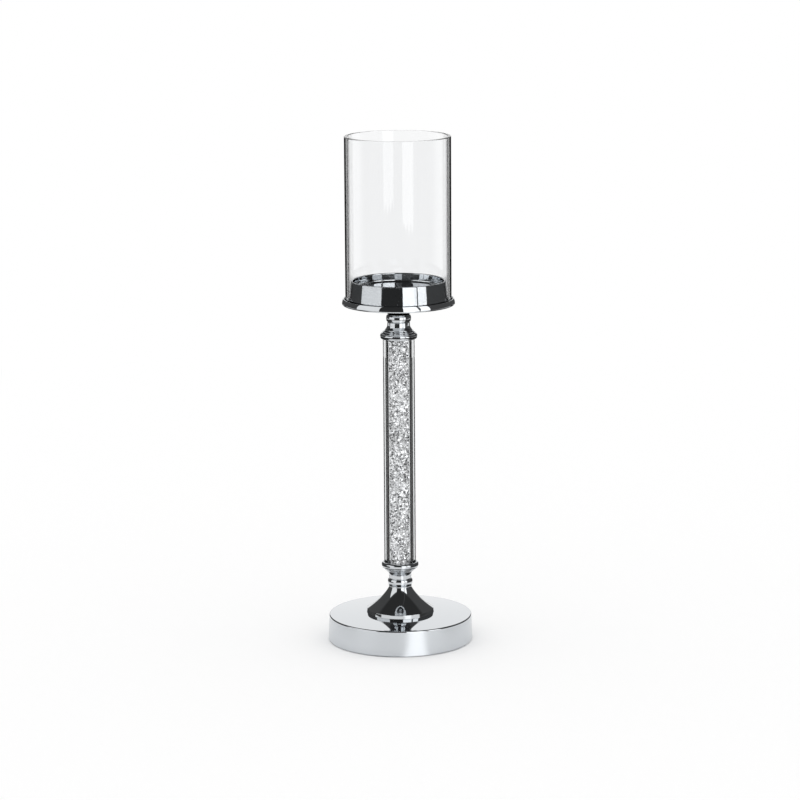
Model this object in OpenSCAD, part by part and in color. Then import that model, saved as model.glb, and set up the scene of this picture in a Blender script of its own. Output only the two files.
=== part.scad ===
// Hurricane candle holder: a weighted round base, a bell foot, a clear column filled with crushed crystal
// between two equal ferrules, a lipped tray, a candle cup and an open glass shade that lifts off.
// A threaded rod runs through the stand and clamps it. Millimetres, +Z up, origin on the table under the axis.

/* [Base] */
// Diameter of the base at its foot
base_d = 120; // [96:1:150]
// Height of the base's top edge above the table
base_h = 21.7; // [20.5:0.1:32]
// How much higher the base's top is where the bell foot stands
base_crown = 1.6; // [0.2:0.1:3]
// How far the base's wall leans in from foot to top
base_draft = 0.85; // [0:0.05:2]
// Sheet thickness of the base
base_wall = 1.2; // [0.8:0.1:1.6]
// Rounding of the base's foot
foot_round = 1; // [0.4:0.1:2]
// Width of the flange rolled in under the base
flange_w = 3.4; // [2:0.1:6]
// How far the felt stands below the base's foot
felt_proud = 0.4; // [0.2:0.1:0.8]
// Thickness of the plate that closes the base
plate_t = 1.5; // [1:0.1:2]
// Thickness of the weight
weight_t = 7; // [4:0.5:8]
// Gap between the weight and the base's wall
weight_gap = 8; // [4:0.5:20]

/* [Bell foot] */
// Height of the bell foot
bell_h = 22.7; // [16:0.1:40]
// Diameter of the bell foot's rim
bell_rim_d = 56; // [40:0.1:80]
// Diameter of the bell foot's neck
bell_neck_d = 18; // [14:0.1:24]
// Radial wall of the bell foot
bell_wall = 2; // [1.2:0.1:3]
// How far the bell's side starts in from the rim
bell_ledge_w = 0.4; // [0.4:0.1:4]
// Height of the bell foot's rim
bell_band_h = 3.1; // [1:0.1:5]
// Share of the bell's side that is a plain cone
bell_cone = 0.55; // [0.2:0.05:0.9]
// How strongly the rest of the side curves out towards the rim
bell_curve = 2.3; // [1.5:0.1:4]

/* [Ferrules] */
// Length of a ferrule
ferrule_h = 20; // [18:0.1:30]
// Wall between the tube and the outside of the ferrule's mouth
mouth_wall = 1.95; // [1.4:0.05:2.8]
// Diameter of the ferrule's neck
neck_d = 18.6; // [14:0.1:20]
// How far the bead stands out from the neck
bead_rise = 0.95; // [0.5:0.05:2]
// Height of the bead
bead_h = 5.8; // [4:0.1:7]
// Depth of the seat for the tube
seat_depth = 2.6; // [2:0.1:3]

/* [Column] */
// Outside diameter of the clear tube
tube_d = 26.2; // [23:0.1:34]
// Wall of the clear tube
tube_wall = 4; // [2:0.1:6]
// Length of the clear tube
tube_len = 191.6; // [80:0.1:320]
// Thickness of the gaskets at the tube's ends
gasket_t = 0.8; // [0.5:0.1:1.5]
// Wall of the bright sleeve round the rod
sleeve_wall = 0.8; // [0.5:0.1:1.5]
// Number of layers of crystal chips
crystal_layers = 36; // [8:1:60]
// Number of chips round each layer
crystal_chips = 9; // [5:1:14]
// How far the chips stand out of the crystals' core
crystal_relief = 1.4; // [0.5:0.1:2]

/* [Glass shade] */
// Outside diameter of the glass
glass_d = 86.8; // [85:0.1:110]
// Wall of the glass
glass_wall = 2.6; // [1.5:0.1:3]
// Height of the glass
glass_h = 137.1; // [60:0.1:240]

/* [Tray] */
// Sheet thickness of the tray
tray_t = 1; // [0.7:0.1:1.6]
// Height of the tray from its underside to the top of its lip
tray_h = 5.1; // [4:0.1:10]
// Thickness of the lip
lip_t = 0.9; // [0.6:0.05:1.4]
// Slope of the lip's outside at its foot
lip_low = 2; // [0:1:8]
// Slope of the lip's outside at its top
lip_high = 26; // [16:1:32]
// Height of the hub between the upper ferrule and the tray
hub_h = 8.4; // [6:0.1:20]
// Diameter of the hub's lower end
hub_d = 18.1; // [14:0.1:22]
// Diameter of the hub's flange
hub_flange_d = 27; // [24:0.1:40]

/* [Candle cup] */
// Height of the cup from its foot to its rim
cup_h = 19.3; // [17:0.1:40]
// Inside diameter of the pan that holds the candle
pan_d = 74.6; // [60:0.1:76]
// Depth of the pan below the rim
pan_depth = 7.1; // [5:0.1:9]
// Sheet thickness of the cup
cup_t = 0.75; // [0.6:0.05:1]
// Rounding between the pan's wall and its floor
pan_round = 1.5; // [0.5:0.1:3]

/* [Rod and fixings] */
// Diameter of the threaded rod and of the cup's screw
rod_d = 6; // [4:0.5:7]
// Width across the flats of the nuts
nut_af = 10; // [10:0.5:13]
// Height of the nut under the base
nut_h = 5; // [3:0.1:5.5]
// Outside diameter of the washers
washer_d = 18; // [13:0.5:24]
// Thickness of the washers
washer_t = 1.2; // [0.8:0.1:1.6]
// Diameter of the cup screw's head
screw_head_d = 11.4; // [9:0.1:13]
// How far the rod stands out below its nut
rod_tail = 1.6; // [0.5:0.1:2]

/* [Clearances] */
// Play of the glass inside the tray's lip
glass_play = 0.95; // [0.2:0.05:1]
// Play of the cup's foot inside the glass
cup_play = 0.25; // [0.2:0.05:1]
// Play of the tube in its seats
tube_play = 0.2; // [0.1:0.05:0.5]
// Play of the rod in the holes that it passes through
hole_play = 0.2; // [0.1:0.05:0.5]
// Play of the thread in the nuts
thread_play = 0.05; // [0.02:0.01:0.1]
// Play of the plate and the felt in the base
base_play = 0.3; // [0.2:0.05:0.8]
// Play of the rod inside its sleeve
sleeve_play = 0.4; // [0.2:0.05:0.8]
// Play of the crystals and the sleeve at their sides and upper ends
fill_play = 0.1; // [0.05:0.05:0.4]
// Play under the head of the cup's screw
head_play = 0.1; // [0.05:0.01:0.3]

/* [Hidden] */
$fn = 128;

CHROME = [0.80, 0.81, 0.83];
ZINC = [0.66, 0.67, 0.66];
CLEAR = [0.88, 0.93, 0.95, 0.35];
CRYSTAL = [0.93, 0.94, 0.95];
IRON = [0.27, 0.27, 0.28];
DARK = [0.12, 0.12, 0.13];
RUBBER = [0.85, 0.85, 0.84];

arc_steps = 6;
curve_steps = 14;

rod_r = rod_d / 2;
hole_r = rod_r + hole_play;
thread_r = rod_r + thread_play;
washer_r = washer_d / 2;

// Base, from the table up
foot_r = base_d / 2;
top_r = foot_r - base_draft;
top_round = base_wall;
crown_edge_r = top_r - top_round;
felt_t = felt_proud + base_wall;
flange_in_r = foot_r - flange_w;
plate_top = felt_t + plate_t;
weight_z = base_h - base_wall - weight_t;
base_washer_z = weight_z - washer_t;
base_nut_z = base_washer_z - nut_h;
rod_z = base_nut_z - rod_tail;

// Bell foot, measured up from the base's top
bell_rim_r = bell_rim_d / 2;
bell_neck_r = bell_neck_d / 2;
bell_side_max_r = bell_rim_r - bell_ledge_w;
bell_edge = 0.25;
bell_lean = 0.35;
bell_ring_h = 0.8;
bell_ring_rise = 0.6;
bell_groove = 0.3;
bell_side_z = bell_band_h;
bell_side_top = bell_h - bell_ring_h - bell_groove;
bell_cap_t = 3;

// Ferrule, measured from its mouth
tube_r = tube_d / 2;
tube_in_r = tube_r - tube_wall;
seat_r = tube_r + tube_play;
mouth_r = seat_r + mouth_wall;
neck_r = neck_d / 2;
seat_lead = 0.2;
lip_round = mouth_wall - seat_lead - 0.05;
mouth_band = 2.6;
under_round = 2.2;
under_angle = 45;
ledges = 3;
ledge_rise = 0.3;
first_ledge_t = 4.3;
ledge_pitch = 1.5;
first_ledge_share = 0.875;
ledge_share_step = 0.28;
neck_t = 11.5;
neck_groove = 0.3;
sleeve_seat = 2.5;
sleeve_in_r = rod_r + sleeve_play;
sleeve_r = sleeve_in_r + sleeve_wall;

// Layers of chips in the column
layer_share = 0.7;
layer_turn = 15.3;
chip_root = 0.3;

// Heights of the stack above the table
bell_z = base_h + base_crown;
lower_ferrule_z = bell_z + bell_h;
lower_seat_z = lower_ferrule_z + ferrule_h - seat_depth;
tube_z = lower_seat_z + gasket_t;
tube_top = tube_z + tube_len;
upper_seat_z = tube_top + gasket_t;
upper_mouth_z = upper_seat_z - seat_depth;
hub_z = upper_mouth_z + ferrule_h;
tray_z = hub_z + hub_h;
tray_floor_z = tray_z + tray_t;
tray_lip_z = tray_z + tray_h;
cup_rim_z = tray_floor_z + cup_h;
pan_floor_z = cup_rim_z - pan_depth;

// Glass, tray and cup fit one inside the other
glass_r = glass_d / 2;
glass_in_r = glass_r - glass_wall;
glass_top_round = 0.7;
glass_foot_round = 0.4;
lip_in_r = glass_r + glass_play;
tray_round = 1;
lip_half = lip_t / 2;
lip_join = 15;
crown_r = lip_in_r + lip_half;
crown_z = tray_lip_z - lip_half;
foot_z = tray_z + tray_round;
lip_curve = (crown_z - foot_z + lip_half * sin(lip_high) - tray_round * sin(lip_low))
    / (sin(lip_high) - sin(lip_low));
lip_centre_r = crown_r - (lip_curve - lip_half) * cos(lip_high);
lip_centre_z = crown_z - (lip_curve - lip_half) * sin(lip_high);
tray_r = lip_centre_r + (lip_curve - tray_round) * cos(lip_low) + tray_round;
pan_r = pan_d / 2;
rim_r = pan_r + 2 * cup_t;
cup_foot_r = glass_in_r - cup_play;

// Screw and coupling under the pan
head_r = screw_head_d / 2;
head_h = head_r - rod_r;
head_sink = 0.1;
dimple_z = pan_floor_z - head_h - head_play;
coupling_z = tray_floor_z + washer_t;
coupling_h = dimple_z - cup_t - coupling_z;
thread_share = 0.44;
rod_top = coupling_z + coupling_h * thread_share;
screw_tip = coupling_z + coupling_h * (1 - thread_share);
dimple_wall = 0.6;

// Hub under the tray
hub_r = hub_d / 2;
hub_flange_r = hub_flange_d / 2;
hub_flange_t = 1.2;
hub_straight = 2.4;

// Points of an arc about (r, z)
function arc(r, z, radius, from_deg, to_deg) = [
    for (i = [0 : arc_steps])
        let (a = from_deg + (to_deg - from_deg) * i / arc_steps)
        [r + radius * cos(a), z + radius * sin(a)]
];

// Radius of the bell's side at a share of the way down from its neck
function bell_side_r(share) =
    bell_neck_r + (bell_side_max_r - bell_neck_r)
        * (bell_cone * share + (1 - bell_cone) * pow(share, bell_curve));
function bell_side_height(share) = bell_side_top - (bell_side_top - bell_side_z) * share;

// Height of the base's crowned top at a radius outside the bell foot
function base_top_z(r) =
    base_h + base_crown * (1 - pow(r / crown_edge_r, 2)) / (1 - pow(bell_rim_r / crown_edge_r, 2));

// Radius of the base's inner wall at a height
function base_in_r(z) = foot_r - base_wall - base_draft * (z - felt_proud) / (base_h - felt_proud);

module turned(points) {
    rotate_extrude() polygon(points);
}

module ring(outer, inner, height) {
    turned([[inner, 0], [outer, 0], [outer, height], [inner, height]]);
}

module nut(height) {
    difference() {
        cylinder(h = height, r = nut_af / 2 / cos(30), $fn = 6);
        translate([0, 0, -1]) cylinder(h = height + 2, r = thread_r);
    }
}

module base_shell() {
    color(CHROME) turned(concat(
        [[flange_in_r, felt_proud]],
        arc(foot_r - foot_round, felt_proud + foot_round, foot_round, -90, 0),
        arc(crown_edge_r, base_h - top_round, top_round, 0, 90),
        [for (i = [1 : curve_steps])
            let (r = crown_edge_r + (bell_rim_r - crown_edge_r) * i / curve_steps)
            [r, base_top_z(r)]],
        [[hole_r, bell_z], [hole_r, base_h - base_wall]],
        [[top_r - base_wall, base_h - base_wall]],
        [[base_in_r(felt_t), felt_t], [flange_in_r, felt_t]]
    ));
}

module base_weight() {
    color(IRON) translate([0, 0, weight_z])
        ring(base_in_r(weight_z) - weight_gap, hole_r, weight_t);
}

module base_washer() {
    color(ZINC) translate([0, 0, base_washer_z]) ring(washer_r, hole_r, washer_t);
}

module base_nut() {
    color(ZINC) translate([0, 0, base_nut_z]) nut(nut_h);
}

module base_plate() {
    color(DARK) translate([0, 0, felt_t])
        cylinder(h = plate_t, r = base_in_r(plate_top) - base_play);
}

module base_felt() {
    color(DARK) cylinder(h = felt_t, r = flange_in_r - base_play);
}

module bell_foot() {
    color(CHROME) translate([0, 0, bell_z]) turned(concat(
        [[bell_rim_r, 0]],
        [[bell_rim_r - bell_lean, bell_side_z - bell_edge]],
        [for (i = [curve_steps : -1 : 0])
            [bell_side_r(i / curve_steps), bell_side_height(i / curve_steps)]],
        [[bell_neck_r, bell_h - bell_ring_h]],
        [[bell_neck_r + bell_ring_rise, bell_h - bell_ring_h]],
        [[bell_neck_r + bell_ring_rise, bell_h - bell_edge]],
        [[bell_neck_r + bell_ring_rise - bell_edge, bell_h], [hole_r, bell_h]],
        [[hole_r, bell_h - bell_cap_t], [bell_neck_r - bell_wall, bell_h - bell_cap_t]],
        [for (i = [2 : curve_steps])
            [bell_side_r(i / curve_steps) - bell_wall, bell_side_height(i / curve_steps)]],
        [[bell_side_max_r - bell_wall, 0]]
    ));
}

// Radius of a ledge under the ferrule's mouth, and its distance from the mouth
function ledge_r(i) = neck_r + (mouth_r - neck_r) * (first_ledge_share - ledge_share_step * i);
function ledge_t(i) = first_ledge_t + ledge_pitch * i;

// One ferrule standing on its bead end, mouth up
module ferrule() {
    cove_r = ledge_r(ledges - 1);
    cove_t = ledge_t(ledges - 1) + ledge_rise;
    bead_half = bead_h / 2;
    bead_r = (bead_half * bead_half + bead_rise * bead_rise) / (2 * bead_rise);
    bead_angle = asin(bead_half / bead_r);
    turned(concat(
        [[hole_r, 0]],
        arc(neck_r + bead_rise - bead_r, bead_half, bead_r, -bead_angle, bead_angle),
        [[neck_r - neck_groove, bead_h + neck_groove], [neck_r, bead_h + 2 * neck_groove]],
        [for (i = [0 : arc_steps])
            let (share = i / arc_steps)
            [neck_r + (cove_r - neck_r) * share * share,
                ferrule_h - neck_t + (neck_t - cove_t) * share]],
        [[cove_r, ferrule_h - cove_t + ledge_rise]],
        [for (i = [ledges - 2 : -1 : 0], rise = [ledge_rise, 0])
            [ledge_r(i), ferrule_h - ledge_t(i) - rise]],
        arc(mouth_r - under_round, ferrule_h - mouth_band, under_round, -under_angle, 0),
        arc(mouth_r - lip_round, ferrule_h - lip_round, lip_round, 0, 90),
        [[seat_r + seat_lead, ferrule_h], [seat_r, ferrule_h - seat_lead]],
        [[seat_r, ferrule_h - seat_depth], [sleeve_r + fill_play, ferrule_h - seat_depth]],
        [[sleeve_r + fill_play, ferrule_h - seat_depth - sleeve_seat]],
        [[hole_r, ferrule_h - seat_depth - sleeve_seat]]
    ));
}

module lower_ferrule() {
    color(CHROME) translate([0, 0, lower_ferrule_z]) ferrule();
}

module upper_ferrule() {
    color(CHROME) translate([0, 0, hub_z]) mirror([0, 0, 1]) ferrule();
}

module lower_gasket() {
    color(RUBBER) translate([0, 0, lower_seat_z]) ring(tube_r, tube_in_r + fill_play, gasket_t);
}

module upper_gasket() {
    color(RUBBER) translate([0, 0, tube_top]) ring(tube_r, tube_in_r + fill_play, gasket_t);
}

module column_tube() {
    color(CLEAR) translate([0, 0, tube_z]) ring(tube_r, tube_in_r, tube_len);
}

// Outline of one layer of chips, whose points stand out of the core
function chip_points(outer, inner) = [
    for (i = [0 : 2 * crystal_chips - 1])
        let (radius = i % 2 == 0 ? outer : inner, a = 180 * i / crystal_chips)
        [radius * cos(a), radius * sin(a)]
];

module crystal_fill() {
    fill_r = tube_in_r - fill_play;
    fill_h = upper_seat_z - lower_seat_z - fill_play;
    core_r = fill_r - crystal_relief;
    pitch = fill_h / crystal_layers;
    color(CRYSTAL) translate([0, 0, lower_seat_z]) difference() {
        union() {
            cylinder(h = fill_h, r = core_r);
            for (i = [0 : crystal_layers - 1])
                translate([0, 0, pitch * (i + (1 - layer_share) / 2)])
                    rotate([0, 0, layer_turn * i])
                        linear_extrude(height = pitch * layer_share)
                            polygon(chip_points(fill_r, core_r - chip_root));
        }
        translate([0, 0, -1]) cylinder(h = fill_h + 2, r = sleeve_r + fill_play);
    }
}

module core_sleeve() {
    color(CHROME) translate([0, 0, lower_seat_z - sleeve_seat])
        ring(sleeve_r, sleeve_in_r, upper_seat_z - lower_seat_z + 2 * sleeve_seat - fill_play);
}

module tie_rod() {
    color(ZINC) translate([0, 0, rod_z]) cylinder(h = rod_top - rod_z, r = rod_r);
}

module tray_hub() {
    flare_h = hub_h - hub_straight - hub_flange_t;
    color(CHROME) translate([0, 0, hub_z]) turned(concat(
        [[hole_r, 0], [hub_r, 0]],
        [for (i = [0 : arc_steps])
            let (share = i / arc_steps)
            [hub_r + (hub_flange_r - hub_r) * share * share, hub_straight + flare_h * share]],
        [[hub_flange_r, hub_h], [hole_r, hub_h]]
    ));
}

module shade_tray() {
    color(CHROME) turned(concat(
        [[hole_r, tray_z]],
        arc(tray_r - tray_round, foot_z, tray_round, -90, lip_low - lip_join),
        arc(lip_centre_r, lip_centre_z, lip_curve, lip_low, lip_high),
        arc(crown_r, crown_z, lip_half, lip_high + lip_join, 180),
        [[tray_r - lip_t, tray_floor_z], [hole_r, tray_floor_z]]
    ));
}

module tray_washer() {
    color(ZINC) translate([0, 0, tray_floor_z]) ring(washer_r, hole_r, washer_t);
}

module coupling_nut() {
    color(ZINC) translate([0, 0, coupling_z]) nut(coupling_h);
}

module cup_screw() {
    head_top = pan_floor_z - head_sink;
    color(ZINC) turned([
        [0, screw_tip], [rod_r, screw_tip], [rod_r, head_top - head_h],
        [head_r, head_top], [0, head_top]
    ]);
}

module candle_cup() {
    dimple_r = head_r + head_play + head_play;
    land_z = dimple_z - cup_t;
    color(CHROME) turned(concat(
        [[cup_foot_r - cup_t, tray_floor_z], [cup_foot_r, tray_floor_z]],
        arc(rim_r - cup_t, cup_rim_z - cup_t, cup_t, 0, 180),
        arc(pan_r - pan_round, pan_floor_z + pan_round, pan_round, 0, -90),
        [[dimple_r, pan_floor_z], [hole_r, dimple_z], [hole_r, land_z]],
        [[hole_r + dimple_wall, land_z], [dimple_r + dimple_wall, pan_floor_z - cup_t]],
        arc(pan_r - pan_round, pan_floor_z + pan_round, pan_round + cup_t, -90, 0),
        [[pan_r + cup_t, cup_rim_z - cup_t]]
    ));
}

module glass_shade() {
    top_z = tray_floor_z + glass_h;
    color(CLEAR) turned(concat(
        arc(glass_in_r + glass_foot_round, tray_floor_z + glass_foot_round, glass_foot_round, 180, 270),
        arc(glass_r - glass_foot_round, tray_floor_z + glass_foot_round, glass_foot_round, -90, 0),
        arc(glass_r - glass_top_round, top_z - glass_top_round, glass_top_round, 0, 90),
        arc(glass_in_r + glass_top_round, top_z - glass_top_round, glass_top_round, 90, 180)
    ));
}

glass_shade();
candle_cup();
cup_screw();
coupling_nut();
tray_washer();
shade_tray();
tray_hub();
upper_ferrule();
upper_gasket();
column_tube();
crystal_fill();
core_sleeve();
tie_rod();
lower_gasket();
lower_ferrule();
bell_foot();
base_shell();
base_weight();
base_washer();
base_nut();
base_plate();
base_felt();
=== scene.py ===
import math

import bpy
import numpy as np
from bpy.props import FloatProperty, FloatVectorProperty, IntProperty, PointerProperty
from bpy.types import Operator, Panel, PropertyGroup
from mathutils import Euler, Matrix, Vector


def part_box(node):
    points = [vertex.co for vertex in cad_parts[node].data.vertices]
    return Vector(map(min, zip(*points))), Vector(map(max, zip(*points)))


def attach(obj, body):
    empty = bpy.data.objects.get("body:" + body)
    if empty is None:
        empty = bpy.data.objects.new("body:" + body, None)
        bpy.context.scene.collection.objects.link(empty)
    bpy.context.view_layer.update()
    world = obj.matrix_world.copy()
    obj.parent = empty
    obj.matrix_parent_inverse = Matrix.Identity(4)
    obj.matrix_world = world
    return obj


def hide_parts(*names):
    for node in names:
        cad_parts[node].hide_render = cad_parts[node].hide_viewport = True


bl_info = {
    "name": "Hurricane candle holder",
    "version": (1, 0, 0),
    "blender": (4, 5, 0),
    "location": "3D View > Sidebar > Candle holder",
    "description": "Builds the chrome, glass and crystal pieces of a hurricane candle holder",
    "category": "Add Mesh",
}

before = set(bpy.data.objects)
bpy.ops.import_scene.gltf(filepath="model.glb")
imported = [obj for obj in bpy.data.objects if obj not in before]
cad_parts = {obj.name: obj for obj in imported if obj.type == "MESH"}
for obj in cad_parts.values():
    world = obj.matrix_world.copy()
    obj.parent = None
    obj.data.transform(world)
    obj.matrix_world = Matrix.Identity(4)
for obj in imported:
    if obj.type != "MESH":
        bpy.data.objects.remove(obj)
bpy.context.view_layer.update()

MM = 0.001
TURN_STEPS = 256
ARC_STEPS = 6
CURVE_STEPS = 40

# Roundings of edges whose size can't be read, and the reach of the points that keep straight sides flat
EDGE_ROUND = 0.15 * MM
CREASE_ROUND = 0.12 * MM
GROOVE_ROUND = 0.1 * MM
RING_FOOT_ROUND = 0.08 * MM
RING_TOP_ROUND = 0.25 * MM
SOFT_ROUND = 0.3 * MM
LEAD_ROUND = 0.05 * MM
MOUTH_ROUND = 0.02 * MM
SUPPORT = 0.12 * MM

# Plays between pieces
HOLE_PLAY = 0.2 * MM
SLEEVE_PLAY = 0.1 * MM
SCREW_PLAY = 0.1 * MM


# Sizes read from the frame

def span(node):
    """Radius, lowest and highest place of a turned node, in metres."""
    low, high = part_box(node)
    return high[0], low[2], high[2]


def hole():
    """Radius of a plain hole for the rod."""
    return span("tie_rod")[0] + HOLE_PLAY


# Outlines and turned surfaces

def curve(points):
    """Points of a smooth stretch, which take no rounding."""
    return [(radius, height, None) for radius, height in points]


def arc(radius, height, bow, start, end, steps=ARC_STEPS):
    """Arc about (radius, height): radius + bow cos t, height + bow sin t, with t from start to end in
    degrees."""
    turn = np.radians(np.linspace(start, end, steps + 1))
    return curve(zip(radius + bow * np.cos(turn), height + bow * np.sin(turn)))


def rounded(corners):
    """Closed outline through (radius, height, rounding) corners.
    Each corner becomes an arc that touches both of its sides, and each straight side keeps a point close to
    both of its ends, so that smooth shading stays flat between the arcs."""
    place = np.array([[radius, height] for radius, height, _ in corners])
    before = place - np.roll(place, 1, axis=0)
    after = np.roll(place, -1, axis=0) - place
    reach = np.hypot(*before.T), np.hypot(*after.T)
    outline = []
    for index, (_, _, bend) in enumerate(corners):
        point = place[index]
        if bend is None:
            outline.append([point])
            continue
        into = before[index] / reach[0][index]
        out = after[index] / reach[1][index]
        turn = math.atan2(into[0] * out[1] - into[1] * out[0], into @ out)
        room = 0.45 * min(reach[0][index], reach[1][index])
        trim = min(abs(bend * math.tan(turn / 2)), room)
        bow = trim / max(abs(math.tan(turn / 2)), 1e-9)
        centre = point - into * trim + bow * math.copysign(1, turn) * np.array([-into[1], into[0]])
        start = point - into * trim - centre
        swing = np.linspace(0, turn, ARC_STEPS + 1)
        outline.append(np.stack([
            centre[0] + start[0] * np.cos(swing) - start[1] * np.sin(swing),
            centre[1] + start[0] * np.sin(swing) + start[1] * np.cos(swing),
        ], axis=1))
    return supported(outline)


def supported(stretches):
    """One outline of all stretches, with a point close to both ends of each straight side between them."""
    points = []
    for index, stretch in enumerate(stretches):
        points.extend(stretch)
        start = stretch[-1]
        side = stretches[(index + 1) % len(stretches)][0] - start
        reach = np.hypot(*side)
        if reach > 6 * SUPPORT:
            points.append(start + side * (SUPPORT / reach))
            points.append(start + side * (1 - SUPPORT / reach))
    return np.array(points)


def turned(name, outline, steps=TURN_STEPS):
    """Outline turned about the Z axis: x = r(u) cos a, y = r(u) sin a, z = z(u), with u along the closed
    outline and a round the axis."""
    radius, height = outline.T
    area = np.sum(radius * np.roll(height, -1) - np.roll(radius, -1) * height)
    if area < 0:
        radius, height = radius[::-1], height[::-1]
    angle = np.arange(steps) * (2 * math.pi / steps)
    places = np.stack([
        np.outer(radius, np.cos(angle)),
        np.outer(radius, np.sin(angle)),
        np.outer(height, np.ones(steps)),
    ], axis=2).reshape(-1, 3)
    along, round_axis = np.meshgrid(np.arange(len(radius)), np.arange(steps), indexing="ij")
    next_along = (along + 1) % len(radius)
    next_round = (round_axis + 1) % steps
    quads = np.stack([
        along * steps + round_axis,
        along * steps + next_round,
        next_along * steps + next_round,
        next_along * steps + round_axis,
    ], axis=2).reshape(-1, 4)
    return surface(name, places, quads, smooth=True)


def surface(name, places, faces, smooth):
    """Object whose mesh has these points and faces."""
    mesh = bpy.data.meshes.new(name)
    mesh.from_pydata(places.tolist(), [], faces.tolist())
    mesh.polygons.foreach_set("use_smooth", np.full(len(faces), smooth))
    mesh.update()
    piece = bpy.data.objects.new(name, mesh)
    bpy.context.scene.collection.objects.link(piece)
    return piece


def place_piece(piece, body, slot, material, *nodes):
    """Gives a piece its material and its body, and lets it stand for CAD nodes."""
    piece.data.materials.append(material)
    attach(piece, body)
    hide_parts(*nodes)


# Shader maths

class Value:
    """A shader socket in Python arithmetic, where each operator adds a Math node."""

    def __init__(self, board, socket):
        self.board = board
        self.socket = socket

    def __add__(self, other):
        return self.board.math("ADD", self, other)

    __radd__ = __add__

    def __mul__(self, other):
        return self.board.math("MULTIPLY", self, other)

    __rmul__ = __mul__

    def __sub__(self, other):
        return self.board.math("SUBTRACT", self, other)

    def __rsub__(self, other):
        return self.board.math("SUBTRACT", other, self)

    def __truediv__(self, other):
        return self.board.math("DIVIDE", self, other)

    def __rtruediv__(self, other):
        return self.board.math("DIVIDE", other, self)

    def __abs__(self):
        return self.board.math("ABSOLUTE", self)


class Board:
    """The nodes of one material or world."""

    def __init__(self, owner):
        owner.use_nodes = True
        self.tree = owner.node_tree
        self.tree.nodes.clear()

    def node(self, kind, settings, sockets, out=0):
        """Adds a node, sets its settings and a ramp's stops, then fills its sockets with values or links."""
        made = self.tree.nodes.new(kind)
        made.location = (len(self.tree.nodes) * 180, 0)
        for key, value in settings.items():
            if key == "stops":
                for spare in range(len(value) - 2):
                    made.color_ramp.elements.new(0.5)
                for stop, (place, colour) in zip(made.color_ramp.elements, value):
                    stop.position = place
                    stop.color = (*colour, 1)
            else:
                setattr(made, key, value)
        for key, value in sockets.items():
            if isinstance(value, Value):
                self.tree.links.new(value.socket, made.inputs[key])
            elif made.inputs[key].type == "RGBA":
                made.inputs[key].default_value = (*value, 1)
            else:
                made.inputs[key].default_value = value
        return Value(self, made.outputs[out]) if len(made.outputs) else made

    def math(self, operation, *values):
        """Number from a Math node."""
        return self.node("ShaderNodeMath", {"operation": operation}, dict(enumerate(values)))

    def step(self, value, edge, width):
        """0 below an edge and 1 above it, with a straight ramp of a given width."""
        return self.node(
            "ShaderNodeMapRange", {"clamp": True},
            {"Value": value, "From Min": edge - width / 2, "From Max": edge + width / 2},
        )

    def blend(self, share, low, high):
        """Colour between two colours."""
        return self.node(
            "ShaderNodeMix", {"data_type": "RGBA"}, {0: share, 6: low, 7: high}, out=2,
        )

    def between(self, share, low, high):
        """Number between two numbers."""
        return low + share * (high - low)

    def spot(self):
        """The point on the object, in metres."""
        return self.node("ShaderNodeTexCoord", {}, {}, out="Object")

    def parts(self, vector):
        """The three parts of a vector."""
        split = self.node("ShaderNodeSeparateXYZ", {}, {0: vector})
        outputs = split.socket.node.outputs
        return [Value(self, outputs[part]) for part in range(3)]

    def noise(self, spot, grain, detail=2.0, roughness=0.5):
        """Cloudy pattern from 0 to 1 whose patches are about one grain wide."""
        return self.node(
            "ShaderNodeTexNoise", {},
            {"Vector": spot, "Scale": 1 / grain, "Detail": detail, "Roughness": roughness},
        )

    def bump(self, height, distance, strength):
        """Normal of a surface that rises by a distance where the height goes from 0 to 1."""
        return self.node(
            "ShaderNodeBump", {}, {"Height": height, "Distance": distance, "Strength": strength},
        )

    def mirrored(self):
        """1 for light that came by a mirror alone, and 0 for what the camera or a matt surface sees."""
        glossy = self.math("MINIMUM", self.path("Glossy Depth"), 1.0)
        matt = self.math("MINIMUM", self.path("Diffuse Depth"), 1.0)
        return glossy * (1 - matt)

    def path(self, output):
        """What the light has met on its way."""
        return self.node("ShaderNodeLightPath", {}, {}, out=output)

    def surface(self, shader):
        """Makes the shader the material's surface."""
        self.node("ShaderNodeOutputMaterial", {}, {"Surface": shader})

    def principled(self, sockets):
        """Principled shader with these sockets set or linked."""
        return self.node("ShaderNodeBsdfPrincipled", {}, sockets)


def new_board(name):
    """A new material and its empty board."""
    material = bpy.data.materials.new(name)
    return material, Board(material)


def once(build):
    """Keeps what a material function makes, so that each finish is made only once."""
    kept = {}

    def fetch(*words):
        if words not in kept:
            kept[words] = build(*words)
        return kept[words]

    return fetch


# Finishes

@once
def polished_chrome():
    """Mirror chrome with faint smears, which roughen it a little, and a polished pressing's slow waves."""
    finish = bpy.context.scene.holder_finishes
    material, board = new_board("polished_chrome")
    spot = board.spot()
    smear = board.step(board.noise(spot, 9 * MM, 4.0, 0.6), 0.6, 0.25)
    wave = board.noise(spot, 6 * MM, 1.0)
    board.surface(board.principled({
        "Base Color": board.blend(smear, finish.chrome, finish.smeared_chrome),
        "Metallic": 1.0,
        "Roughness": board.between(smear, 0.02, 0.06),
        "Normal": board.bump(wave, 0.02 * MM, 0.6),
    }))
    return material


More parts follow.
